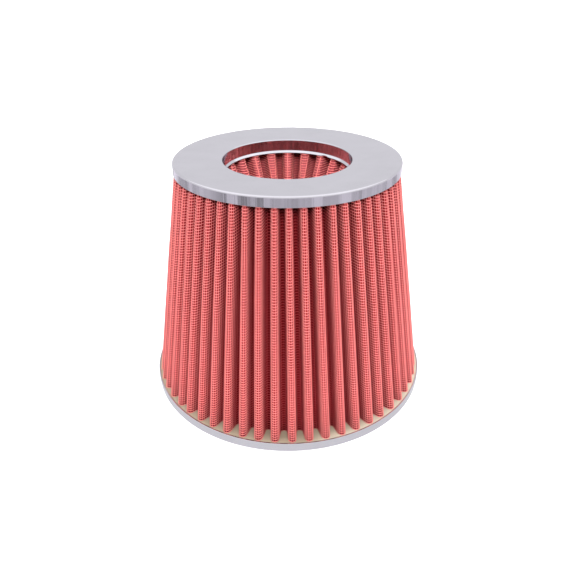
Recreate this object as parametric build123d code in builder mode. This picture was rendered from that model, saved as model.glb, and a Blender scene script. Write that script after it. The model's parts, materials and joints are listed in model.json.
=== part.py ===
from build123d import *
import os
from math import cos, pi, radians, sin

os.makedirs("parts", exist_ok=True)

# Overall sizes, in millimetres; the filter stands on the XY plane with its axis on Z
base_diameter = 155.0
top_diameter = 115.0
overall_height = 126.0
sheet = 0.8

# Top cap: a pressed ring with a rim, and a collar round its opening that turns in to a rolled lip
ring_width = 24.5
cap_rim_height = 5.2
edge_bevel = 0.8
collar_depth = 7.2
lip_reach = 2.75
lip_thickness = 1.6

# Base pan: a pressed pan with a low rim, and the inlet collar that is let into it
pan_rim_height = 5.0
inlet_bore = 76.0
inlet_length = 22.0

# Filter wall, folded round both cones; a fold's round tip is drawn with this many straight stretches
wall = 1.1
tip_stretches = 4
first_fold_angle = 269.3

# Outer cone: fold sizes at its foot and at its head
outer_count = 55
outer_depth = 8.5
outer_tip_foot = 2.15
outer_tip_head = 1.7
outer_flank_slope = 3.5
pan_gap = 1.0
cap_gap = 0.1

# Upside-down cone inside the opening
inner_count = 22
inner_depth = 8.5
inner_height = 44.0
inner_foot_radius = 14.2
inner_tip_foot = 1.3
inner_tip_head = 2.1
inner_flank_slope = 8.0
lip_cover = 0.25

# Closing dish and potting
dish_rim_height = 5.0
dish_gap = 0.4
base_potting_depth = 3.7
cap_potting_depth = 3.2
dish_potting_depth = 2.0
potting_margin = 1.5

# Radii and heights that the pieces share
base_radius = base_diameter / 2
top_radius = top_diameter / 2
opening_radius = top_radius - ring_width
lip_radius = opening_radius - lip_reach
collar_foot = overall_height - collar_depth
cap_rim_foot = overall_height - cap_rim_height
outer_foot = sheet + base_potting_depth
outer_head = overall_height - sheet - cap_potting_depth
inner_foot = collar_foot - inner_height
dish_floor = inner_foot - dish_potting_depth - sheet


def outer_tip(height):
    """Radius of the outer cone's pleat tips, a straight line from the pan's rim to the cap's rim."""
    low = base_radius - sheet - pan_gap
    high = top_radius - sheet - cap_gap
    return low + (high - low) * (height - pan_rim_height) / (cap_rim_foot - pan_rim_height)


def inner_tip(height):
    """Radius of the upside-down cone's pleat tips, which stand just behind the lip at the top."""
    high = lip_radius + lip_cover
    return inner_foot_radius + (high - inner_foot_radius) * (height - inner_foot) / inner_height


def along(start, way, normal, distance):
    """The point of a line that lies at a distance from the axis, measured along a normal."""
    return start + way * ((distance - start.dot(normal)) / way.dot(normal))


def mirrored(point):
    """A point of a pleat's other half."""
    return Vector(point.X, -point.Y)


def pleat_outlines(height, count, outward, tip_radius, depth, tip_fold, flank_slope):
    """Large and small outline of a folded wall at one height: round tips where it shows, flat floors."""
    side = 1 if outward else -1
    half = pi / count
    floor_radius = tip_radius - side * depth
    tip_normal = Vector(1, 0)
    floor_normal = Vector(cos(half), sin(half))
    flank_normal = Vector(side * sin(radians(flank_slope)), cos(radians(flank_slope)))
    flank_way = Vector(-flank_normal.Y, flank_normal.X)

    # One pleat, with its tip on the X axis: foot, round tip and foot again
    centre = tip_normal * (tip_radius - side * tip_fold)
    sweep = pi - 2 * side * radians(flank_slope)
    round_tip = []
    for stretch in range(tip_stretches + 1):
        swing = (stretch / tip_stretches - 0.5) * sweep
        round_tip.append(centre + Vector(side * cos(swing), sin(swing)) * tip_fold)
    foot = along(round_tip[-1], flank_way, floor_normal, floor_radius)
    face_pleat = [mirrored(foot), *round_tip, foot]

    # The same pleat on the wall's other side
    back_start = round_tip[-1] - flank_normal * wall
    back_tip = along(back_start, flank_way, tip_normal, tip_radius - side * wall)
    back_foot = along(back_start, flank_way, floor_normal, floor_radius - side * wall)
    back_pleat = [mirrored(back_foot), mirrored(back_tip), back_tip, back_foot]

    def repeated(pleat):
        """The pleat's corners, carried round the axis and up to the height."""
        turns = [first_fold_angle + index * 360 / count for index in range(count)]
        return [corner.rotate(Axis.Z, turn) + Vector(0, 0, height) for turn in turns for corner in pleat]

    outlines = (repeated(face_pleat), repeated(back_pleat))
    return outlines if outward else outlines[::-1]


def folded_wall(foot, head):
    """Solid wall between its outlines at the foot and at the head; each side of a fold is one flat."""
    flats = []
    for large, small in (foot, head):
        flats.append(Face(Wire.make_polygon(large), [Wire.make_polygon(small)]))
    for low, high in zip(foot, head):
        for index in range(len(low)):
            corners = [low[index - 1], low[index], high[index], high[index - 1]]
            flats.append(Face(Wire.make_polygon(corners)))
    return Solid(Shell(flats))


def outer_outlines(height, tip_fold):
    """Outlines of the outer cone's folded wall."""
    tip_radius = outer_tip(height)
    return pleat_outlines(height, outer_count, True, tip_radius, outer_depth, tip_fold, outer_flank_slope)


def inner_outlines(height, tip_fold):
    """Outlines of the upside-down cone's folded wall."""
    tip_radius = inner_tip(height)
    return pleat_outlines(height, inner_count, False, tip_radius, inner_depth, tip_fold, inner_flank_slope)


# Top cap
with BuildPart() as top_cap:
    with BuildSketch(Plane.XZ) as cap_section:
        with BuildLine():
            Polyline(
                (top_radius - sheet, cap_rim_foot),
                (top_radius, cap_rim_foot),
                (top_radius, overall_height),
                (opening_radius, overall_height),
                (opening_radius, collar_foot + sheet),
                (lip_radius + lip_thickness, collar_foot + sheet),
                (lip_radius + lip_thickness, collar_foot + lip_thickness),
                (lip_radius, collar_foot + lip_thickness),
                (lip_radius, collar_foot),
                (opening_radius + sheet, collar_foot),
                (opening_radius + sheet, overall_height - sheet),
                (top_radius - sheet, overall_height - sheet),
                close=True,
            )
        make_face()
        chamfer(cap_section.vertices().group_by(Axis.Y)[-1], edge_bevel)
    revolve(axis=Axis.Z)
top_cap.part.label = "top_cap"
export_step(top_cap.part, "parts/top_cap.step")

# Potting in the cap's channel, deeper round the collar, where the upside-down cone hangs
with BuildPart() as cap_potting:
    with BuildSketch(Plane.XZ):
        with BuildLine():
            step_radius = inner_tip(collar_foot) + inner_depth + wall + potting_margin
            Polyline(
                (opening_radius + sheet, overall_height - sheet),
                (top_radius - sheet, overall_height - sheet),
                (top_radius - sheet, outer_head),
                (step_radius, outer_head),
                (step_radius, collar_foot),
                (opening_radius + sheet, collar_foot),
                close=True,
            )
        make_face()
    revolve(axis=Axis.Z)
cap_potting.part.label = "cap_potting"
export_step(cap_potting.part, "parts/cap_potting.step")

# Outer pleated cone
with BuildPart() as outer_pack:
    foot_outlines = outer_outlines(outer_foot, outer_tip_foot)
    head_outlines = outer_outlines(outer_head, outer_tip_head)
    add(folded_wall(foot_outlines, head_outlines), clean=False)
outer_pack.part.label = "outer_pack"
export_step(outer_pack.part, "parts/outer_pack.step")

# Upside-down pleated cone
with BuildPart() as inner_pack:
    foot_outlines = inner_outlines(inner_foot, inner_tip_foot)
    head_outlines = inner_outlines(collar_foot, inner_tip_head)
    add(folded_wall(foot_outlines, head_outlines), clean=False)
inner_pack.part.label = "inner_pack"
export_step(inner_pack.part, "parts/inner_pack.step")

# Dish that closes the foot of the upside-down cone
dish_head = dish_floor + dish_rim_height
dish_radius = inner_tip(dish_head) + inner_depth + wall + dish_gap
with BuildPart() as inner_dish:
    with BuildSketch(Plane.XY.offset(dish_floor)):
        Circle(dish_radius + sheet)
    extrude(amount=dish_rim_height)
    with BuildSketch(Plane.XY.offset(dish_floor + sheet)):
        Circle(dish_radius)
    extrude(amount=dish_rim_height - sheet, mode=Mode.SUBTRACT)
inner_dish.part.label = "inner_dish"
export_step(inner_dish.part, "parts/inner_dish.step")

with BuildPart() as dish_potting:
    with BuildSketch(Plane.XY.offset(dish_floor + sheet)):
        Circle(dish_radius)
    extrude(amount=dish_potting_depth)
dish_potting.part.label = "dish_potting"
export_step(dish_potting.part, "parts/dish_potting.step")

# Base pan
with BuildPart() as base_pan:
    with BuildSketch(Plane.XZ):
        with BuildLine():
            Polyline(
                (inlet_bore / 2 + sheet, 0),
                (base_radius, 0),
                (base_radius, pan_rim_height),
                (base_radius - sheet, pan_rim_height),
                (base_radius - sheet, sheet),
                (inlet_bore / 2 + sheet, sheet),
                close=True,
            )
        make_face()
    revolve(axis=Axis.Z)
base_pan.part.label = "base_pan"
export_step(base_pan.part, "parts/base_pan.step")

# Inlet collar, which stands in the pan's opening
with BuildPart() as inlet_collar:
    with BuildSketch():
        Circle(inlet_bore / 2 + sheet)
        Circle(inlet_bore / 2, mode=Mode.SUBTRACT)
    extrude(amount=inlet_length)
inlet_collar.part.label = "inlet_collar"
export_step(inlet_collar.part, "parts/inlet_collar.step")

# Potting round the feet of the outer pleats
with BuildPart() as base_potting:
    with BuildSketch(Plane.XY.offset(sheet)):
        Circle(base_radius - sheet)
        Circle(outer_tip(outer_foot) - outer_depth - wall - potting_margin, mode=Mode.SUBTRACT)
    extrude(amount=base_potting_depth)
base_potting.part.label = "base_potting"
export_step(base_potting.part, "parts/base_potting.step")
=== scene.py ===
"""Looks of a cone air filter: chromed ends, two pleated gauze cones under wire net, and cream potting."""

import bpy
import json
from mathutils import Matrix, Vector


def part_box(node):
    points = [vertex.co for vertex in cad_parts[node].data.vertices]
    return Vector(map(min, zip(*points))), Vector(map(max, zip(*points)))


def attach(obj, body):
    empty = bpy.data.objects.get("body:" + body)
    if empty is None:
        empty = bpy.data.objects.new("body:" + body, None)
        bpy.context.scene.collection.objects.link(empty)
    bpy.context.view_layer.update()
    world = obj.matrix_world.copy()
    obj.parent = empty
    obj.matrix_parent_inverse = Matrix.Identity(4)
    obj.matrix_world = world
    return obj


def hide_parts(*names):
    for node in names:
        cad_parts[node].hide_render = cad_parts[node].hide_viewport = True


bl_info = {
    "name": "Cone air filter",
    "version": (1, 0, 0),
    "blender": (4, 5, 0),
    "location": "3D View > Sidebar > Filter",
    "description": "Builds a pleated cone air filter with chromed ends on its CAD solids",
    "category": "Object",
}

import json
import random
from math import acos, atan2, cos, exp, floor, pi, radians, sin, tau

import bmesh
import bpy
from bpy.props import FloatProperty, FloatVectorProperty, IntProperty, PointerProperty
from mathutils import Matrix, Vector

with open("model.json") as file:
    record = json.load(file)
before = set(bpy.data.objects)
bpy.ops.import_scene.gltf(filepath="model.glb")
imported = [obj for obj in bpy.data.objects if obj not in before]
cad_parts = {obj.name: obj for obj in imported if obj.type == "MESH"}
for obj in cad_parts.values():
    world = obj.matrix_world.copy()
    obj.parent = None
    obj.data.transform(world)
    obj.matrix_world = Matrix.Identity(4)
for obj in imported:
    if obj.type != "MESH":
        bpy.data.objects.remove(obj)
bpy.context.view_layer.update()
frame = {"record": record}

MM = 0.001
BODY = "root"

# Sizes that the CAD solids give
PAN_LOW, PAN_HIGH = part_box("base_pan")
INLET_LOW, INLET_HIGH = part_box("inlet_collar")
CAP_LOW, CAP_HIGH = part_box("top_cap")
OUTER_LOW, OUTER_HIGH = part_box("outer_pack")
INNER_LOW, INNER_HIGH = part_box("inner_pack")
DISH_LOW, DISH_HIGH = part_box("inner_dish")
BASE_POTTING_LOW, BASE_POTTING_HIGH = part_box("base_potting")
CAP_POTTING_LOW, CAP_POTTING_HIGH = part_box("cap_potting")
DISH_POTTING_LOW, DISH_POTTING_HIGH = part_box("dish_potting")
SHEET = BASE_POTTING_LOW.z


def half_width(node):
    """Radius of a round CAD solid, as its facets keep it."""
    low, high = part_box(node)
    return min(-low.x, -low.y, high.x, high.y)


PAN_RADIUS = half_width("base_pan")
INLET_RADIUS = half_width("inlet_collar")
CAP_RADIUS = half_width("top_cap")
DISH_RADIUS = half_width("inner_dish")
BASE_POTTING_RADIUS = half_width("base_potting")
CAP_POTTING_RADIUS = half_width("cap_potting")
DISH_POTTING_RADIUS = half_width("dish_potting")
BORE_RADIUS = next(m["dims"]["r_mm"] for m in frame["record"]["mounts"] if m["kind"] == "bore") * MM

# Fineness of the meshes; stops are the steps round a fold's tip, down its flank and round its valley
LATHE_STEPS = 192
ROUNDING_SEGMENTS = 5
WELD = 0.001 * MM
GAUZE_ROWS = 16
GAUZE_STOPS = (6, 2, 4)
WIRE_STOPS = (3, 1, 2)
WIRE_SIDES = 3
UPRIGHT_ROWS = 10
ROW_CROWDING = 1.6
OUTER_ROUND_PIECES = 3

# Share of a fold's depth over which painted shade darkens its colours
PAINTED_SHADE_START, PAINTED_SHADE_END = 0.3, 0.55

# The dent's wave in the lip: its swing, its pace, its drop and its push outwards
DENT_SWING, DENT_PACE, DENT_DROP, DENT_PUSH = 0.9, 1.8, 0.3, 0.4

# Stage: sizes, places and turns of what stands round the filter, in metres
STAGE_MIDDLE = (0, 0, 0.06)
FLOOR_REACH = 12
CARD_SEGMENTS = 64
CARD_RADIUS = 0.16
CARD_WIDENING = 8
CARD_HEIGHT = 0.5 * MM
CARD_FRONT, CARD_CUT_START, CARD_CUT_END = -0.376, 0.22, 0.25
SOFT_LAMP_PLACE, SOFT_LAMP_SIZE = (0, 0.15, 1.2), (0.9, 0.9)
CEILING_PLACE, CEILING_SIZE = (0, 0, 1.1), (3.0, 2.0)
FRONT_LIGHT_SPREAD = radians(25)
FRONT_LIGHT_TURN = (radians(50), 0, radians(4))

# Brightness of the card in front, beside the filter and added at the back, and of its streaks
CARD_FRONT_GREY, CARD_SIDE_GREY, CARD_BACK_LIFT = 0.51, 0.63, 0.37
STREAK_SCALE, STREAK_GAIN, STREAK_LOSS = 7.0, 3.0, 0.5


def length(name, description, default):
    """A length that a user may set, in metres."""
    return FloatProperty(name=name, description=description, default=default, unit="LENGTH", precision=5)


def angle(name, description, degrees):
    """An angle that a user may set."""
    return FloatProperty(name=name, description=description, default=radians(degrees), subtype="ANGLE")


def number(name, description, default):
    """A plain number that a user may set."""
    return FloatProperty(name=name, description=description, default=default)


def folds(name, description, default):
    """A count of folds that a user may set."""
    return IntProperty(name=name, description=description, default=default, min=3)


def colour(name, description, default):
    """A colour that a user may set."""
    return FloatVectorProperty(
        name=name, description=description, default=default, subtype="COLOR", size=3, min=0, max=1
    )


class FilterCap(bpy.types.PropertyGroup):
    """Sizes of the chromed ring on top"""

    rim_height: length("Rim height", "Height of the rim round the ring", 5.2 * MM)
    opening_radius: length("Opening radius", "Radius of the opening in the ring", 32.6 * MM)
    lip_radius: length("Lip radius", "Inner radius of the lip at the collar's foot", 31.6 * MM)
    lip_drop: length("Lip drop", "How far the lip slopes down from the collar to its edge", 1.0 * MM)
    lip_edge: length("Lip edge", "Height of the lip's rolled edge", 0.2 * MM)
    lip_sink: length("Lip sink", "How far the lip's edge lies below the solid's foot", 0.85 * MM)
    sag: length("Sag", "How far the ring's face sinks towards the opening", 0.9 * MM)
    edge_round: length("Edge rounding", "Bend radius of the outer edge", 1.0 * MM)
    collar_round: length("Collar rounding", "Bend radius from the ring into the collar", 0.5 * MM)
    dent_depth: length("Dent depth", "How far the lip is bent at its dent", 0.7 * MM)
    dent_turn: angle("Dent place", "Where the lip is dented", 50)
    dent_spread: angle("Dent spread", "Half width of the dent", 6)


class FilterPan(bpy.types.PropertyGroup):
    """Sizes of the chromed pan at the foot"""

    edge_round: length("Edge rounding", "Bend radius of the lower edge", 0.5 * MM)


class FilterPotting(bpy.types.PropertyGroup):
    """Sizes of the poured potting"""

    base_width: length("Base width", "Width of the potting ring in the pan", 12.0 * MM)
    step_radius: length("Step radius", "Radius of the deeper potting round the cap's collar", 41.6 * MM)
    climb: length("Climb", "How far the potting climbs where it meets a rim", 0.4 * MM)
    # Painted light: a band of this width along the pan's rim is coloured lighter than the potting further
    # in.
    painted_light_width: length("Clean width", "Width of the cleaner potting along the pan's rim", 7 * MM)
    # Where along X the darkening of the left side begins to fade and has faded.
    left_dark_start: length("Stain start", "Where along X the left side's stains begin to fade", 8 * MM)
    left_dark_end: length("Stain end", "Where along X the left side's stains have faded", 22 * MM)


class FilterPleats(bpy.types.PropertyGroup):
    """Sizes of the folded gauze"""

    depth: length("Fold depth", "Depth of a fold, from tip to floor", 8.5 * MM)
    outer_count: folds("Outer folds", "Folds round the outer cone", 55)
    outer_tip_foot: length("Outer tip at the foot", "Tip rounding at the outer cone's foot", 2.3 * MM)
    outer_tip_head: length("Outer tip at the head", "Tip rounding at the outer cone's head", 1.75 * MM)
    outer_slope: angle("Outer flank", "Flare of the outer flanks", 3.5)
    outer_turn_foot: angle("Turn at the foot", "Front fold at the foot", 271.3)
    outer_turn_head: angle("Turn at the head", "Front fold at the head", 270.5)
    pan_gap: length("Pan gap", "Room between the pleat tips and the pan's rim", 0.5 * MM)
    cap_gap: length("Cap gap", "Room between the pleat tips and the cap's rim", 0.1 * MM)
    inner_count: folds("Inner folds", "Folds round the inner cone", 22)
    inner_foot_radius: length("Inner foot radius", "Tip radius at the inner cone's foot", 14.2 * MM)
    inner_tip_foot: length("Inner tip at the foot", "Tip rounding at the inner cone's foot", 1.5 * MM)
    inner_tip_head: length("Inner tip at the head", "Tip rounding at the inner cone's head", 2.95 * MM)
    inner_slope: angle("Inner flank", "Flare of the inner flanks", 8)
    inner_turn: angle("Inner turn", "Front fold of the inner cone", 269.3)
    lip_cover: length("Lip cover", "How far the inner tips stand back behind the lip", 0.05 * MM)
    gauze_thickness: length("Gauze thickness", "Thickness of the gauze", 0.7 * MM)
    sink: length("Sink", "How far the folds stand in the potting", 0.4 * MM)
    uneven_turn: angle("Uneven turn", "How far folds lean from their place", 0.25)
    uneven_tip: number("Uneven tips", "Share by which tips differ", 0.06)
    uneven_radius: length("Uneven radius", "How far some tips stand back", 0.2 * MM)
    belly: length("Belly", "How far the outer folds swell below the cap", 0.6 * MM)


class FilterNet(bpy.types.PropertyGroup):
    """Sizes of the wire net"""

    round_radius: length("Round wire radius", "Half the thickness of wires that run round", 0.22 * MM)
    upright_radius: length("Upright wire radius", "Half the thickness of wires that run up", 0.17 * MM)
    round_pitch: length("Round pitch", "Distance between wires that run round", 1.365 * MM)
    upright_pitch: length("Upright pitch", "Distance between wires that run up the folds", 1.45 * MM)
    upright_inset: number("Upright inset", "Depth of upright wires behind round ones, in round radii", 1.6)
    stand_off: length("Stand-off", "Distance from the gauze to the net's outer face", 0.75 * MM)


class FilterColours(bpy.types.PropertyGroup):
    """Colours of the finishes"""

    chrome: colour("Chrome", "Colour of the chromed sheet", (0.60, 0.585, 0.64))
    steel: colour("Steel", "Colour of the dish", (0.42, 0.42, 0.43))
    wire: colour("Wire", "Colour of the net", (0.90, 0.25, 0.24))
    # Painted shade: the net's colour on the floors of the folds.
    wire_painted_shade: colour("Deep wire", "Colour of the net deep in the folds", (0.36, 0.04, 0.045))
    gauze: colour("Gauze", "Colour of the outer cone's oiled gauze", (0.24, 0.007, 0.012))
    # Painted light: a lighter copy of the gauze colour, standing in for more light on the inner cone.
    inner_gauze: colour("Inner gauze", "Colour of the inner cone's drier gauze", (0.36, 0.07, 0.08))
    potting: colour("Potting", "Colour of the potting", (0.29, 0.24, 0.175))
    # Painted light: the lighter colour of the potting along the pan's rim.
    potting_painted_light: colour("Clean potting", "Colour of the potting along the pan's rim", (0.45, 0.395, 0.315))
    potting_dark: colour("Dark potting", "Colour of stains in the potting", (0.225, 0.18, 0.125))


class FilterStage(bpy.types.PropertyGroup):
    """Camera, floor and light"""

    camera_distance: length("Camera distance", "Camera's place in front of the axis", 0.27854)
    camera_height: length("Camera height", "Camera's height over the floor", 0.21024)
    camera_pitch: angle("Camera pitch", "How far the camera looks down", 30.073)
    camera_roll: angle("Camera roll", "How far the camera leans sideways", -0.3)
    lens: number("Lens", "Focal length in millimetres", 35.17)
    ambient: number("Ambient", "Light from all round", 0.15)
    floor_glow: number("Floor glow", "How far the floor is lifted to white", 0.5)
    overhead: number("Overhead lamp", "Power of the lamp above, in watts", 29.0)
    ceiling: number("Ceiling", "Power of the ceiling that chrome mirrors, in watts", 9.5)
    front: number("Front light", "Strength of the light from the front", 4.4)


def blend(low, high, share):
    """The value a share of the way from low to high."""
    return low + (high - low) * share


def new_object(name, bm, finish):
    """Turns a bmesh into an object of one finish."""
    mesh = bpy.data.meshes.new(name)
    bm.to_mesh(mesh)
    bm.free()
    mesh.materials.append(finish)
    piece = bpy.data.objects.new(name, mesh)
    bpy.context.scene.collection.objects.link(piece)
    return piece


def finished(name, bm, finish):
    """Turns a bmesh into a smooth piece that rides on the filter."""
    piece = new_object(name, bm, finish)
    for polygon in piece.data.polygons:
        polygon.use_smooth = True
    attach(piece, BODY)
    return piece


# Finishes


class Nodes:
    """A node tree, with short ways to add and join its nodes."""

    def __init__(self, tree):
        self.tree = tree

    def add(self, kind, inputs=None, **settings):
        """Adds a node; inputs are sockets to join or values to set."""
        node = self.tree.nodes.new(kind)
        for setting, value in settings.items():
            setattr(node, setting, value)
        for socket, value in (inputs or {}).items():
            self.put(node.inputs[socket], value)
        return node

    def put(self, socket, value):
        """Joins an output to a socket, or sets the socket's value."""
        if isinstance(value, bpy.types.NodeSocket):
            self.tree.links.new(value, socket)
        else:
            socket.default_value = value

    def maths(self, operation, *values):
        """One step of arithmetic."""
        return self.add("ShaderNodeMath", dict(enumerate(values)), operation=operation).outputs["Value"]

    def ranged(self, value, low, high, start=0.3, end=0.7):
        """Spreads a value that runs from start to end between two limits."""
        inputs = {"Value": value, "From Min": start, "From Max": end, "To Min": low, "To Max": high}
        return self.add("ShaderNodeMapRange", inputs).outputs["Result"]

    def part(self, vector, axis):
        """One part of a vector."""
        return self.add("ShaderNodeSeparateXYZ", {"Vector": vector}).outputs[axis]

    def rays(self, *kinds):
        """One for rays of these kinds, and zero for all others."""
        path = self.add("ShaderNodeLightPath")
        found = path.outputs[kinds[0]]
        for kind in kinds[1:]:
            found = self.maths("MAXIMUM", found, path.outputs[kind])
        return found


class Finish(Nodes):
    """A material's nodes, which end in its shader."""

    def __init__(self, name, **values):
        self.material = bpy.data.materials.new(name)
        self.material.use_nodes = True
        super().__init__(self.material.node_tree)
        self.shader = self.tree.nodes["Principled BSDF"]
        self.finish(**values)

    def place(self):
        """A place on the object."""
        return self.add("ShaderNodeTexCoord").outputs["Object"]

    def noise(self, scale, detail):
        """Soft noise of a given scale along each axis."""
        mapping = self.add("ShaderNodeMapping", {"Vector": self.place(), "Scale": scale})
        inputs = {"Vector": mapping.outputs["Vector"], "Scale": 1.0, "Detail": detail}
        return self.add("ShaderNodeTexNoise", inputs).outputs["Fac"]

    def deep(self):
        """How much painted shade a place takes in its fold: 0 round the tip, 1 deep down."""
        depth = self.add("ShaderNodeAttribute", attribute_name="painted_fold_shade").outputs["Fac"]
        return self.ranged(depth, 0, 1, PAINTED_SHADE_START, PAINTED_SHADE_END)

    def mixed(self, share, first, second):
        """Mixes two colours."""
        node = self.add("ShaderNodeMix", data_type="RGBA")
        for socket, value in (("Factor", share), ("A", first), ("B", second)):
            matches = [item for item in node.inputs if item.name == socket and item.enabled]
            self.put(matches[0], value)
        return next(item for item in node.outputs if item.enabled)

    def bump(self, height, distance):
        """Relief from a height."""
        return self.add("ShaderNodeBump", {"Height": height, "Distance": distance}).outputs["Normal"]

    def finish(self, **sockets):
        """Sets or joins the shader's sockets and gives the material."""
        for socket, value in sockets.items():
            self.put(self.shader.inputs[socket.replace("_", " ")], value)
        return self.material


def rgba(shade):
    """A colour with full cover."""
    return (*shade, 1.0)


def dimmed(shade, share):
    """A share of a colour, with full cover."""
    return rgba([share * part for part in shade])


def chrome_finish():
    """Bright plating on pressed sheet: faint haze, fine rubbing marks and a rippled rim."""
    shade = bpy.context.scene.filter_colours.chrome
    chrome = Finish("bright_chrome", Metallic=1.0, Specular_Tint=(0.9, 0.9, 0.92, 1))
    haze = chrome.noise((60, 60, 60), 4)
    rubbing = chrome.noise((2500, 2500, 500), 2)
    tone = chrome.mixed(chrome.ranged(haze, 0, 1), rgba(shade), dimmed(shade, 0.94))
    roughness = chrome.maths("ADD", chrome.ranged(haze, 0.08, 0.14), chrome.ranged(rubbing, 0, 0.05))
    normal = chrome.add("ShaderNodeNewGeometry").outputs["Normal"]
    flatness = chrome.maths("ABSOLUTE", chrome.part(normal, "Z"))
    side = chrome.maths("SUBTRACT", 1.0, flatness)
    ripples = chrome.maths("MULTIPLY", chrome.noise((230, 230, 0), 3), side)
    relief = chrome.bump(ripples, 0.2 * MM)
    return chrome.finish(Base_Color=tone, Roughness=roughness, Normal=relief)


def steel_finish():
    """Plain sheet steel with a faint grain."""
    shade = bpy.context.scene.filter_colours.steel
    steel = Finish("dish_steel", Metallic=1.0)
    grain = steel.noise((300, 6000, 300), 3)
    tone = steel.mixed(steel.ranged(grain, 0, 1), rgba(shade), dimmed(shade, 0.8))
    return steel.finish(
        Base_Color=tone,
        Roughness=steel.ranged(grain, 0.3, 0.45),
        Normal=steel.bump(grain, 0.03 * MM),
    )


def gauze_finish(name, shade):
    """Oiled cotton gauze: a fine weave, darker where the oil gathers, with painted shade deep in the
    folds.
    """
    gauze = Finish(name, Roughness=0.9, Specular_IOR_Level=0.15)
    oil = gauze.ranged(gauze.noise((180, 180, 60), 4), 0, 1)
    weave = gauze.noise((2600, 2600, 2600), 2)
    fibres = gauze.ranged(weave, 0.0, 0.6)
    damp = gauze.maths("MULTIPLY", oil, 0.7)
    tone = gauze.mixed(gauze.maths("MAXIMUM", damp, fibres), rgba(shade), dimmed(shade, 0.71))
    # Painted shade: the gauze darkens towards the floors of its folds.
    tone = gauze.mixed(gauze.deep(), tone, dimmed(shade, 0.43))
    return gauze.finish(Base_Color=tone, Normal=gauze.bump(weave, 0.12 * MM))


def wire_finish():
    """Coated wire, with some of its coating dulled, and painted shade deep in the folds."""
    colours = bpy.context.scene.filter_colours
    shade = colours.wire
    wire = Finish("wire_net", Roughness=0.45, Specular_IOR_Level=0.35)
    wear = wire.ranged(wire.noise((500, 500, 500), 3), 0, 1)
    tone = wire.mixed(wear, rgba(shade), dimmed(shade, 0.86))
    # Painted shade: the net darkens towards the floors of the folds.
    tone = wire.mixed(wire.deep(), tone, rgba(colours.wire_painted_shade))
    return wire.finish(Base_Color=tone)


def potting_finish():
    """Poured cream resin, not quite level, with patchy stains: darker to the left, and lighter along the
    pan's rim as painted light, with painted shade from the pleats further in.
    """
    colours = bpy.context.scene.filter_colours
    sizes = bpy.context.scene.filter_potting
    potting = Finish("cream_potting")
    dark_tone = rgba(colours.potting_dark)
    swell = potting.noise((420, 420, 420), 2)
    stain = potting.ranged(potting.noise((160, 160, 160), 4), 0, 1, 0.45, 0.75)
    tone = potting.mixed(stain, rgba(colours.potting), dark_tone)
    across, along = potting.part(potting.place(), "X"), potting.part(potting.place(), "Y")
    flat = potting.add("ShaderNodeCombineXYZ", {"X": across, "Y": along}).outputs["Vector"]
    reach = potting.add("ShaderNodeVectorMath", {0: flat}, operation="LENGTH").outputs["Value"]
    # Painted light along the pan's rim; the potting further in stays darker as painted shade from the
    # pleats.
    painted_light_band = potting.ranged(reach, 0, 1, BASE_POTTING_RADIUS - sizes.painted_light_width, BASE_POTTING_RADIUS)
    tone = potting.mixed(painted_light_band, tone, rgba(colours.potting_painted_light))
    # Darker to the left, fading out between the two places along X.
    left_darkening = potting.ranged(across, 0.75, 0.0, sizes.left_dark_start, sizes.left_dark_end)
    tone = potting.mixed(left_darkening, tone, dark_tone)
    return potting.finish(
        Base_Color=tone,
        Roughness=potting.ranged(swell, 0.35, 0.55),
        Normal=potting.bump(swell, 0.25 * MM),
    )


# Turned pieces


def lathe(name, corners, finish):
    """Spins a closed section round the axis; each corner is a radius, a height and a rounding."""
    bm = bmesh.new()
    section = [bm.verts.new((radius, 0, height)) for radius, height, rounding in corners]
    sides = [bm.edges.new((section[index - 1], section[index])) for index in range(len(section))]
    bmesh.ops.spin(
        bm,
        geom=section + sides,
        cent=(0, 0, 0),
        axis=(0, 0, 1),
        angle=tau,
        steps=LATHE_STEPS,
        use_merge=True,
    )
    bmesh.ops.remove_doubles(bm, verts=bm.verts, dist=WELD)
    for radius, height, rounding in corners:
        if rounding:
            round_ring(bm, radius, height, rounding)
    bmesh.ops.recalc_face_normals(bm, faces=bm.faces)
    piece = finished(name, bm, finish)
    piece.modifiers.new("flat faces", "WEIGHTED_NORMAL")
    return piece


def round_ring(bm, radius, height, rounding):
    """Rounds the ring edge that a corner of the section has made."""
    near = 0.01 * MM

    def on_ring(vert):
        return abs(vert.co.z - height) < near and abs(vert.co.xy.length - radius) < near

    ring = [edge for edge in bm.edges if on_ring(edge.verts[0]) and on_ring(edge.verts[1])]
    bmesh.ops.bevel(
        bm,
        geom=ring,
        offset=rounding,
        offset_type="OFFSET",
        affect="EDGES",
        segments=ROUNDING_SEGMENTS,
        profile=0.5,
        material=-1,
    )


def dent_lip(piece, cap):
    """Bends a short stretch of the cap's lip in a soft wave."""
    lip_top = CAP_LOW.z - cap.lip_sink + cap.lip_edge + cap.lip_drop
    for vert in piece.data.vertices:
        radius = vert.co.xy.length
        if radius > cap.opening_radius or vert.co.z > lip_top:
            continue
        away = (atan2(vert.co.y, vert.co.x) - cap.dent_turn) / cap.dent_spread
        reach = (cap.opening_radius - radius) / (cap.opening_radius - cap.lip_radius)
        wave = exp(-away * away) * reach
        vert.co.z += cap.dent_depth * wave * (DENT_SWING * cos(DENT_PACE * away) - DENT_DROP)
        vert.co.xy *= 1 + DENT_PUSH * cap.dent_depth * wave / radius


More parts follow.
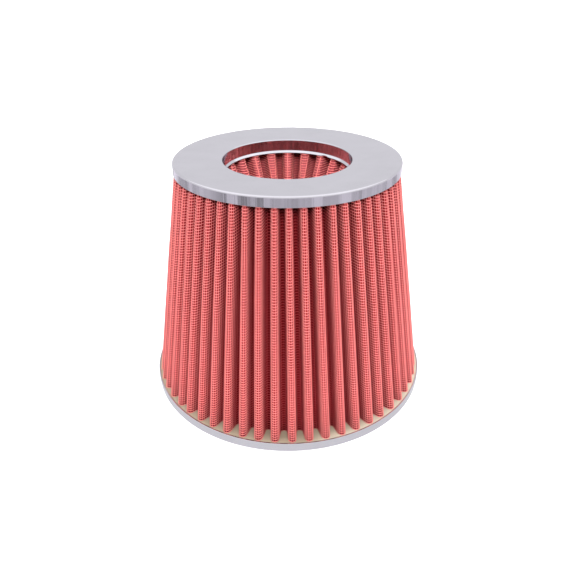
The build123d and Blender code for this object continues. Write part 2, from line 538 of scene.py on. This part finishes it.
class FILTER_OT_cap(bpy.types.Operator):
    """Build the chromed ring with its rim, collar and lip"""

    bl_idname = "filter.cap"
    bl_label = "Cap"

    def execute(self, context):
        cap = context.scene.filter_cap
        rim_foot = CAP_HIGH.z - cap.rim_height
        lip_foot = CAP_LOW.z - cap.lip_sink
        lip_edge = lip_foot + cap.lip_edge
        lip_round = 0.4 * cap.lip_edge
        cut_edge, inner_bend, collar_bend = 0.3 * SHEET, 0.2 * SHEET, 0.4 * SHEET
        corners = (
            (CAP_RADIUS - SHEET, rim_foot, inner_bend),
            (CAP_RADIUS, rim_foot, cut_edge),
            (CAP_RADIUS, CAP_HIGH.z, cap.edge_round),
            (cap.opening_radius, CAP_HIGH.z - cap.sag, cap.collar_round),
            (cap.opening_radius, lip_edge + cap.lip_drop, lip_round),
            (cap.lip_radius, lip_edge, lip_round),
            (cap.lip_radius, lip_foot, lip_round),
            (cap.opening_radius + SHEET, lip_foot + cap.lip_drop, lip_round),
            (cap.opening_radius + SHEET, CAP_HIGH.z - cap.sag - SHEET, collar_bend),
            (CAP_RADIUS - SHEET, CAP_HIGH.z - SHEET, inner_bend),
        )
        piece = lathe("cap_shell", corners, bpy.data.materials["bright_chrome"])
        dent_lip(piece, cap)
        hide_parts("top_cap")
        return {"FINISHED"}


class FILTER_OT_pan(bpy.types.Operator):
    """Build the chromed pan with its rim"""

    bl_idname = "filter.pan"
    bl_label = "Pan"

    def execute(self, context):
        pan = context.scene.filter_pan
        cut_edge = 0.3 * SHEET
        corners = (
            (INLET_RADIUS, PAN_LOW.z, 0),
            (PAN_RADIUS, PAN_LOW.z, pan.edge_round),
            (PAN_RADIUS, PAN_HIGH.z, cut_edge),
            (PAN_RADIUS - SHEET, PAN_HIGH.z, cut_edge),
            (PAN_RADIUS - SHEET, SHEET, cut_edge),
            (INLET_RADIUS, SHEET, 0),
        )
        piece = lathe("pan_shell", corners, bpy.data.materials["bright_chrome"])
        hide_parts("base_pan")
        return {"FINISHED"}


class FILTER_OT_inlet(bpy.types.Operator):
    """Build the chromed collar that takes the intake pipe"""

    bl_idname = "filter.inlet"
    bl_label = "Inlet"

    def execute(self, context):
        cut_edge = 0.4 * SHEET
        corners = (
            (BORE_RADIUS, INLET_LOW.z, cut_edge),
            (INLET_RADIUS, INLET_LOW.z, 0),
            (INLET_RADIUS, INLET_HIGH.z, cut_edge),
            (BORE_RADIUS, INLET_HIGH.z, cut_edge),
        )
        piece = lathe("inlet_shell", corners, bpy.data.materials["bright_chrome"])
        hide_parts("inlet_collar")
        return {"FINISHED"}


class FILTER_OT_dish(bpy.types.Operator):
    """Build the dish that closes the inner cone's foot"""

    bl_idname = "filter.dish"
    bl_label = "Dish"

    def execute(self, context):
        cut_edge = 0.3 * SHEET
        corners = (
            (0, DISH_LOW.z, 0),
            (DISH_RADIUS, DISH_LOW.z, SHEET),
            (DISH_RADIUS, DISH_HIGH.z, cut_edge),
            (DISH_RADIUS - SHEET, DISH_HIGH.z, cut_edge),
            (DISH_RADIUS - SHEET, DISH_LOW.z + SHEET, cut_edge),
            (0, DISH_LOW.z + SHEET, 0),
        )
        piece = lathe("dish_shell", corners, bpy.data.materials["dish_steel"])
        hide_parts("inner_dish")
        return {"FINISHED"}


class FILTER_OT_potting(bpy.types.Operator):
    """Pour the potting at the foot, under the cap and in the dish"""

    bl_idname = "filter.potting"
    bl_label = "Potting"

    def execute(self, context):
        cap = context.scene.filter_cap
        potting = context.scene.filter_potting
        climb, step = potting.climb, potting.step_radius
        finish = bpy.data.materials["cream_potting"]
        ring_start = BASE_POTTING_RADIUS - potting.base_width
        base = (
            (ring_start, BASE_POTTING_LOW.z, 0),
            (BASE_POTTING_RADIUS, BASE_POTTING_LOW.z, 0),
            (BASE_POTTING_RADIUS, BASE_POTTING_HIGH.z + climb, 0),
            (BASE_POTTING_RADIUS - climb, BASE_POTTING_HIGH.z, climb),
            (ring_start, BASE_POTTING_HIGH.z, climb),
        )
        under_cap = (
            (cap.opening_radius + SHEET, CAP_POTTING_HIGH.z - cap.sag, 0),
            (CAP_POTTING_RADIUS, CAP_POTTING_HIGH.z, 0),
            (CAP_POTTING_RADIUS, OUTER_HIGH.z, 0),
            (step, OUTER_HIGH.z, climb),
            (step, CAP_POTTING_LOW.z, climb),
            (cap.opening_radius + SHEET, CAP_POTTING_LOW.z, 0),
        )
        dish = (
            (0, DISH_POTTING_LOW.z, 0),
            (DISH_POTTING_RADIUS, DISH_POTTING_LOW.z, 0),
            (DISH_POTTING_RADIUS, DISH_POTTING_HIGH.z + climb, 0),
            (DISH_POTTING_RADIUS - climb, DISH_POTTING_HIGH.z, climb),
            (0, DISH_POTTING_HIGH.z, 0),
        )
        for name, corners, node in (
            ("base_resin", base, "base_potting"),
            ("cap_resin", under_cap, "cap_potting"),
            ("dish_resin", dish, "dish_potting"),
        ):
            piece = lathe(name, corners, finish)
            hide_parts(node)
        return {"FINISHED"}


# Folded walls


class FoldedWall:
    """A strip folded round a cone; its side is 1 where the outside shows and -1 where the inside does."""

    def __init__(self, count, side, depth, foot, head, slope, turns, belly, shade, seed):
        self.count, self.side, self.depth, self.slope, self.turns = count, side, depth, slope, turns
        # How strong the painted shade on the floors of the folds is.
        self.shade = shade
        self.belly, self.squeeze = belly
        self.foot_height, self.foot_radius, self.foot_fold = foot
        self.head_height, self.head_radius, self.head_fold = head
        pleats = bpy.context.scene.filter_pleats
        draw = random.Random(seed)
        self.lean_foot = [draw.uniform(-1, 1) * pleats.uneven_turn for _ in range(count)]
        self.lean_head = [draw.uniform(-1, 1) * pleats.uneven_turn for _ in range(count)]
        self.swell = [1 + draw.uniform(-1, 1) * pleats.uneven_tip for _ in range(count)]
        self.back = [draw.uniform(0, 1) * pleats.uneven_radius for _ in range(count)]
        self.slope_length = Vector(
            (self.head_height - self.foot_height, self.head_radius - self.foot_radius)
        ).length

    def turn_of(self, pleat, rise):
        """Direction of a pleat's tip."""
        index = pleat % self.count
        lean = blend(self.lean_foot[index], self.lean_head[index], rise)
        return blend(*self.turns, rise) + pleat * tau / self.count + lean

    def tone(self, stage):
        """How much painted shade a place gets: 0 on a tip, and the wall's full painted shade on the floor
        of a fold.
        """
        return self.shade * stage / 3

    def belly_at(self, rise):
        """How far the folds swell, up to where the cap's rim squeezes them."""
        squeezed = min(1.0, max(0.0, (1 - rise) / self.squeeze - 1))
        return self.belly * rise * (2 - rise) * squeezed * squeezed * (3 - 2 * squeezed)

    def half_pleat(self, pleat, hand, rise, inset):
        """Section of half a pleat: its tip, flank and valley, inset from the face."""
        index = pleat % self.count
        side = self.side
        half = abs(self.turn_of(pleat + hand, rise) - self.turn_of(pleat, rise)) / 2
        tip = blend(self.foot_radius, self.head_radius, rise) + self.belly_at(rise)
        fold = blend(self.foot_fold, self.head_fold, rise) * self.swell[index]
        floor_radius = tip - side * self.depth
        tip -= side * self.back[index]
        flank_normal = Vector((side * sin(self.slope), cos(self.slope)))
        flank_way = Vector((-flank_normal.y, flank_normal.x))
        valley_normal = Vector((cos(half), sin(half)))
        centre = Vector((tip - side * fold, 0))
        shoulder = centre + flank_normal * fold
        closing = flank_normal.dot(valley_normal)
        valley = (floor_radius * closing - flank_normal.dot(shoulder)) / (1 - side * closing)
        valley_centre = valley_normal * (floor_radius + side * valley)
        flank = (valley_centre - flank_normal * valley - shoulder).dot(flank_way)
        swing = pi / 2 - side * self.slope
        sweep = acos(side * closing)
        return HalfPleat(
            side, centre, fold - inset, swing, shoulder - flank_normal * inset, flank_way, flank,
            valley_centre, valley + inset, -flank_normal, sweep,
        )

    def point(self, pleat, hand, stage, rise, inset):
        """A point of the wall at a stage: 0 on the tip, 1 to 2 down the flank and 3 in the valley."""
        flat = self.half_pleat(pleat, hand, rise, inset).at(stage)
        turned = Matrix.Rotation(self.turn_of(pleat, rise), 2) @ Vector((flat.x, hand * flat.y))
        return Vector((*turned, blend(self.foot_height, self.head_height, rise)))

    def stage_of(self, pleat, hand, share, rise):
        """Stage of a point that lies a share of the way from a tip to the next valley."""
        return self.half_pleat(pleat, hand, rise, 0).stage_of(share)


class HalfPleat:
    """Half a fold seen from above: an arc, a straight flank and another arc."""

    def __init__(
        self, side, centre, fold, swing, shoulder, way, flank, valley_centre, valley, start, sweep
    ):
        self.side, self.centre, self.fold, self.swing = side, centre, fold, swing
        self.shoulder, self.way, self.flank = shoulder, way, flank
        self.valley_centre, self.valley, self.start, self.sweep = valley_centre, valley, start, sweep

    def at(self, stage):
        """The point at a stage."""
        if stage <= 1:
            swung = stage * self.swing
            return self.centre + Vector((self.side * cos(swung), sin(swung))) * self.fold
        if stage <= 2:
            return self.shoulder + self.way * (self.flank * (stage - 1))
        turn = Matrix.Rotation(-self.side * self.sweep * (stage - 2), 2)
        return self.valley_centre + (turn @ self.start) * self.valley

    def stretches(self):
        """Lengths of the tip's arc, the flank and the valley's arc."""
        return self.fold * self.swing, self.flank, self.valley * self.sweep

    def stage_of(self, share):
        """The stage that lies at a share of the half fold's length."""
        stretches = self.stretches()
        left = share * sum(stretches)
        for stage, stretch in enumerate(stretches):
            if left <= stretch:
                return stage + left / stretch
            left -= stretch
        return 3.0


def fold_stops(tip, flank, valley):
    """Pairs of hand and stage from one valley over the tip to the next, with steps for each stretch."""
    stages = [index / tip for index in range(tip)]
    stages += [1 + index / flank for index in range(flank)]
    stages += [2 + index / valley for index in range(valley + 1)]
    return [(-1, stage) for stage in reversed(stages)] + [(1, stage) for stage in stages[1:]]


def outer_wall():
    """The outer cone's fold, from the base potting to the cap potting."""
    pleats = bpy.context.scene.filter_pleats
    low = OUTER_LOW.z - pleats.sink
    high = OUTER_HIGH.z + pleats.sink
    cap_rim_foot = CAP_HIGH.z - bpy.context.scene.filter_cap.rim_height
    pan_radius = PAN_RADIUS - SHEET - pleats.pan_gap
    cap_radius = CAP_RADIUS - SHEET - pleats.cap_gap
    lean = (cap_radius - pan_radius) / (cap_rim_foot - PAN_HIGH.z)
    return FoldedWall(
        count=pleats.outer_count,
        side=1,
        depth=pleats.depth,
        foot=(low, pan_radius + lean * (low - PAN_HIGH.z), pleats.outer_tip_foot),
        head=(high, pan_radius + lean * (high - PAN_HIGH.z), pleats.outer_tip_head),
        slope=pleats.outer_slope,
        turns=(pleats.outer_turn_foot, pleats.outer_turn_head),
        belly=(pleats.belly, (high - cap_rim_foot) / (high - low)),
        shade=1.0,
        seed=5,
    )


def inner_wall():
    """The upside-down cone's fold, from the dish to the cap's lip."""
    pleats = bpy.context.scene.filter_pleats
    cap = bpy.context.scene.filter_cap
    head_radius = cap.lip_radius + pleats.lip_cover
    low = INNER_LOW.z - pleats.sink
    return FoldedWall(
        count=pleats.inner_count,
        side=-1,
        depth=pleats.depth,
        foot=(low, pleats.inner_foot_radius, pleats.inner_tip_foot),
        head=(INNER_HIGH.z - cap.lip_sink, head_radius, pleats.inner_tip_head),
        slope=pleats.inner_slope,
        turns=(pleats.inner_turn, pleats.inner_turn),
        belly=(0.0, 1.0),
        # The inner cone takes half as much painted shade as the outer one.
        shade=0.5,
        seed=9,
    )


def crowded(share):
    """A share from foot to head, with rows that crowd towards the head."""
    return 1 - (1 - share) ** ROW_CROWDING


def gauze_piece(name, wall, finish):
    """Rolls a flat sheet into the folded wall and gives it its thickness."""
    pleats = bpy.context.scene.filter_pleats
    inset = bpy.context.scene.filter_net.stand_off
    stops = fold_stops(*GAUZE_STOPS)
    steps = len(stops) - 1
    columns = wall.count * steps
    bm = bmesh.new()
    # Each point keeps how much painted shade it takes in its fold.
    painted_fold_shade = bm.verts.layers.float.new("painted_fold_shade")
    bmesh.ops.create_grid(bm, x_segments=columns, y_segments=GAUZE_ROWS, size=0.5)
    for vert in bm.verts:
        pleat, stop = divmod(round((vert.co.x + 0.5) * columns), steps)
        hand, stage = stops[stop]
        vert[painted_fold_shade] = wall.tone(stage)
        vert.co = wall.point(pleat, hand, stage, crowded(vert.co.y + 0.5), inset)
    bmesh.ops.remove_doubles(bm, verts=bm.verts, dist=WELD)
    bm.normal_update()
    tip_face = max(bm.faces, key=lambda face: wall.side * face.calc_center_median().xy.length)
    if wall.side * tip_face.normal.xy.dot(tip_face.calc_center_median().xy) < 0:
        bmesh.ops.reverse_faces(bm, faces=bm.faces)
    piece = finished(name, bm, bpy.data.materials[finish])
    thickness = piece.modifiers.new("gauze thickness", "SOLIDIFY")
    thickness.thickness = pleats.gauze_thickness
    thickness.offset = -1
    return piece


class FILTER_OT_gauze(bpy.types.Operator):
    """Fold the gauze of both cones"""

    bl_idname = "filter.gauze"
    bl_label = "Gauze"

    def execute(self, context):
        for name, wall, finish, node in (
            ("outer_gauze", outer_wall(), "red_gauze", "outer_pack"),
            ("inner_gauze", inner_wall(), "inner_gauze_painted_lighter", "inner_pack"),
        ):
            piece = gauze_piece(name, wall, finish)
            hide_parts(node)
        return {"FINISHED"}


def round_rises(wall):
    """Where wires that run round a wall lie on its slope, from foot to head."""
    total = round(wall.slope_length / bpy.context.scene.filter_net.round_pitch)
    return [(index + 0.5) / total for index in range(total)]


def round_wires(name, wall, rises):
    """Wires that run round the wall, in and out of its folds."""
    net = bpy.context.scene.filter_net
    stops = fold_stops(*WIRE_STOPS)
    steps = len(stops) - 1
    columns = wall.count * steps
    bm = bmesh.new()
    # Each point keeps how much painted shade it takes in its fold.
    painted_fold_shade = bm.verts.layers.float.new("painted_fold_shade")
    for rise in rises:
        tube = bmesh.ops.create_grid(bm, x_segments=columns, y_segments=WIRE_SIDES, size=0.5)
        for vert in tube["verts"]:
            pleat, stop = divmod(round((vert.co.x + 0.5) * columns), steps)
            hand, stage = stops[stop]
            vert[painted_fold_shade] = wall.tone(stage)
            swing = vert.co.y * tau
            lift = net.round_radius * sin(swing) / wall.slope_length
            inset = net.round_radius * (1 - cos(swing))
            vert.co = wall.point(pleat, hand, stage, rise + lift, inset)
    return closed_wires(name, bm)


def upright_wires(name, wall):
    """Wires that run straight up the folds."""
    net = bpy.context.scene.filter_net
    half_fold = sum(wall.half_pleat(0, 1, 0.5, 0).stretches())
    total = round(2 * wall.count * half_fold / net.upright_pitch)
    bm = bmesh.new()
    # Each point keeps how much painted shade it takes in its fold.
    painted_fold_shade = bm.verts.layers.float.new("painted_fold_shade")
    for wire in range(total):
        turn = (wire + 0.5) / total * wall.count
        pleat = floor(turn + 0.5)
        hand = 1 if turn >= pleat else -1
        share = 2 * abs(turn - pleat)
        tube = bmesh.ops.create_grid(bm, x_segments=WIRE_SIDES, y_segments=UPRIGHT_ROWS, size=0.5)
        for vert in tube["verts"]:
            rise = crowded(vert.co.y + 0.5)
            swing = vert.co.x * tau
            across = min(1.0, max(0.0, share + net.upright_radius * sin(swing) / half_fold))
            inset = net.upright_inset * net.round_radius + net.upright_radius * (1 - cos(swing))
            stage = wall.stage_of(pleat, hand, across, rise)
            vert[painted_fold_shade] = wall.tone(stage)
            vert.co = wall.point(pleat, hand, stage, rise, inset)
    return closed_wires(name, bm)


def closed_wires(name, bm):
    """Closes the tubes and makes them a piece."""
    bmesh.ops.remove_doubles(bm, verts=bm.verts, dist=WELD)
    ends = [edge for edge in bm.edges if edge.is_boundary]
    bmesh.ops.holes_fill(bm, edges=ends, sides=WIRE_SIDES)
    bmesh.ops.recalc_face_normals(bm, faces=bm.faces)
    piece = finished(name, bm, bpy.data.materials["wire_net"])
    return piece


class FILTER_OT_net(bpy.types.Operator):
    """Lay the wire net over both cones"""

    bl_idname = "filter.net"
    bl_label = "Net"

    def execute(self, context):
        wall = outer_wall()
        rises = round_rises(wall)
        share = -(-len(rises) // OUTER_ROUND_PIECES)
        for index in range(OUTER_ROUND_PIECES):
            round_wires(f"outer_net_round_{index + 1}", wall, rises[index * share:(index + 1) * share])
        upright_wires("outer_net_upright", wall)
        wall = inner_wall()
        round_wires("inner_net_round", wall, round_rises(wall))
        upright_wires("inner_net_upright", wall)
        return {"FINISHED"}


# Stage


def floor_finish(glow):
    """Pale floor that takes shadow; the camera sees it lifted to white, and chrome mirrors white."""
    ground = Finish(
        "pale_floor",
        Base_Color=(0.7, 0.7, 0.7, 1),
        Roughness=1.0,
        Specular_IOR_Level=0.0,
        Emission_Color=(1, 1, 1, 1),
    )
    ground.finish(Emission_Strength=ground.maths("MULTIPLY", ground.rays("Is Camera Ray"), glow))
    mirrored = ground.rays("Is Glossy Ray", "Is Transmission Ray")
    white = ground.add("ShaderNodeEmission").outputs["Emission"]
    inputs = {"Fac": mirrored, 1: ground.shader.outputs["BSDF"], 2: white}
    either = ground.add("ShaderNodeMixShader", inputs)
    ground.put(ground.tree.nodes["Material Output"].inputs["Surface"], either.outputs["Shader"])
    return ground.material


def card_finish():
    """Grey card, darkest in front, streaked from the middle outwards and cut off to white at the back."""
    card = Finish("grey_card", Base_Color=(0, 0, 0, 1), Emission_Color=(0.97, 0.93, 1.0, 1))
    along = card.part(card.place(), "Y")
    front = card.ranged(along, CARD_FRONT_GREY, CARD_SIDE_GREY, CARD_FRONT, 0.0)
    back = card.ranged(along, 0.0, CARD_BACK_LIFT, CARD_CUT_START, CARD_CUT_END)
    grey = card.maths("ADD", front, back)
    way = card.add("ShaderNodeVectorMath", {0: card.place()}, operation="NORMALIZE").outputs["Vector"]
    inputs = {"Vector": way, "Scale": STREAK_SCALE, "Detail": 1.0}
    streaks = card.add("ShaderNodeTexNoise", inputs).outputs["Fac"]
    lift = card.maths("MULTIPLY_ADD", streaks, STREAK_GAIN, -STREAK_LOSS)
    return card.finish(Emission_Strength=card.maths("MULTIPLY", grey, lift))


def stage_piece(name, bm, finish):
    """Turns a bmesh into a piece of the stage."""
    piece = new_object(name, bm, finish)
    return piece


def linked(name, data):
    """A new object of the scene for a light or a camera."""
    holder = bpy.data.objects.new(name, data)
    bpy.context.scene.collection.objects.link(holder)
    return holder


def lamp(name, place, size, power):
    """A rectangular lamp that points at the filter."""
    light = bpy.data.lights.new(name, "AREA")
    light.shape = "RECTANGLE"
    light.size, light.size_y = size
    light.energy = power
    holder = linked(name, light)
    holder.location = place
    holder.rotation_euler = (Vector(STAGE_MIDDLE) - Vector(place)).to_track_quat("-Z", "Y").to_euler()
    return holder


def set_ground(glow):
    """Lays the floor, and on it the card that only chrome mirrors."""
    bm = bmesh.new()
    bmesh.ops.create_grid(bm, x_segments=1, y_segments=1, size=FLOOR_REACH)
    stage_piece("floor", bm, floor_finish(glow))
    bm = bmesh.new()
    bmesh.ops.create_circle(bm, segments=CARD_SEGMENTS, radius=CARD_RADIUS)
    widened = bmesh.ops.extrude_edge_only(bm, edges=bm.edges)
    outer = [item for item in widened["geom"] if isinstance(item, bmesh.types.BMVert)]
    bmesh.ops.scale(bm, vec=(CARD_WIDENING, CARD_WIDENING, 1), verts=outer)
    bmesh.ops.translate(bm, vec=(0, 0, CARD_HEIGHT), verts=bm.verts)
    card = stage_piece("grey_card", bm, card_finish())
    card.visible_camera = False
    card.visible_diffuse = False
    card.visible_shadow = False


def set_lights(stage):
    """Hangs a soft lamp, a ceiling that only chrome mirrors and a light from the front."""
    soft = lamp("soft_lamp", SOFT_LAMP_PLACE, SOFT_LAMP_SIZE, stage.overhead)
    soft.visible_glossy = False
    ceiling = lamp("bright_ceiling", CEILING_PLACE, CEILING_SIZE, stage.ceiling)
    ceiling.visible_diffuse = False
    sun = bpy.data.lights.new("front_light", "SUN")
    sun.energy = stage.front
    sun.angle = FRONT_LIGHT_SPREAD
    holder = linked("front_light", sun)
    holder.rotation_euler = FRONT_LIGHT_TURN
    holder.visible_glossy = False


def set_world(scene, ambient):
    """Surrounds the filter with white, which lights it faintly."""
    scene.world = bpy.data.worlds.new("studio")
    scene.world.use_nodes = True
    studio = Nodes(scene.world.node_tree)
    sky = studio.tree.nodes["Background"]
    seen = studio.rays("Is Camera Ray", "Is Glossy Ray", "Is Transmission Ray")
    studio.put(sky.inputs["Color"], (1, 1, 1, 1))
    studio.put(sky.inputs["Strength"], studio.maths("MULTIPLY_ADD", seen, 1 - ambient, ambient))


def set_camera(scene, stage):
    """Puts the camera where the photograph was taken."""
    view = bpy.data.cameras.new("camera")
    view.sensor_width = 36
    view.lens = stage.lens
    view.clip_start = 0.01
    scene.camera = linked("camera", view)
    stand = Matrix.Translation((0, -stage.camera_distance, stage.camera_height))
    pitch = Matrix.Rotation(pi / 2 - stage.camera_pitch, 4, "X")
    scene.camera.matrix_world = stand @ pitch @ Matrix.Rotation(stage.camera_roll, 4, "Z")


class FILTER_OT_stage(bpy.types.Operator):
    """Set the floor, the light and the camera"""

    bl_idname = "filter.stage"
    bl_label = "Stage"

    def execute(self, context):
        scene = context.scene
        stage = scene.filter_stage
        scene.view_settings.view_transform = "Standard"
        set_ground(stage.floor_glow)
        set_lights(stage)
        set_world(scene, stage.ambient)
        set_camera(scene, stage)
        return {"FINISHED"}


class FILTER_OT_finishes(bpy.types.Operator):
    """Mix the finishes of all pieces"""

    bl_idname = "filter.finishes"
    bl_label = "Finishes"

    def execute(self, context):
        colours = context.scene.filter_colours
        gauze_finish("red_gauze", colours.gauze)
        # The inner cone's gauze takes its lighter colour as painted light.
        gauze_finish("inner_gauze_painted_lighter", colours.inner_gauze)
        for make in (chrome_finish, steel_finish, wire_finish, potting_finish):
            make()
        return {"FINISHED"}


class FILTER_PT_sidebar(bpy.types.Panel):
    """Lists the filter's operators and settings"""

    bl_idname = "FILTER_PT_sidebar"
    bl_label = "Cone air filter"
    bl_space_type = "VIEW_3D"
    bl_region_type = "UI"
    bl_category = "Filter"

    def draw(self, context):
        for operator in OPERATORS:
            self.layout.operator(operator.bl_idname)
        for group in GROUPS:
            settings = getattr(context.scene, group)
            for name in settings.bl_rna.properties.keys():
                if name not in ("rna_type", "name"):
                    self.layout.prop(settings, name)


GROUPS = {
    "filter_cap": FilterCap,
    "filter_pan": FilterPan,
    "filter_potting": FilterPotting,
    "filter_pleats": FilterPleats,
    "filter_net": FilterNet,
    "filter_colours": FilterColours,
    "filter_stage": FilterStage,
}
OPERATORS = (
    FILTER_OT_finishes,
    FILTER_OT_cap,
    FILTER_OT_pan,
    FILTER_OT_inlet,
    FILTER_OT_dish,
    FILTER_OT_potting,
    FILTER_OT_gauze,
    FILTER_OT_net,
    FILTER_OT_stage,
)


def register():
    """Registers the settings, the operators and the panel."""
    for name, group in GROUPS.items():
        bpy.utils.register_class(group)
        setattr(bpy.types.Scene, name, PointerProperty(type=group))
    for operator in OPERATORS:
        bpy.utils.register_class(operator)
    bpy.utils.register_class(FILTER_PT_sidebar)


def unregister():
    """Removes what register has added."""
    bpy.utils.unregister_class(FILTER_PT_sidebar)
    for operator in reversed(OPERATORS):
        bpy.utils.unregister_class(operator)
    for name, group in GROUPS.items():
        delattr(bpy.types.Scene, name)
        bpy.utils.unregister_class(group)


def main():
    """Builds every piece in order."""
    register()
    bpy.ops.filter.finishes()
    bpy.ops.filter.cap()
    bpy.ops.filter.pan()
    bpy.ops.filter.inlet()
    bpy.ops.filter.dish()
    bpy.ops.filter.potting()
    bpy.ops.filter.gauze()
    bpy.ops.filter.net()
    bpy.ops.filter.stage()


if __name__ == "__main__":
    main()
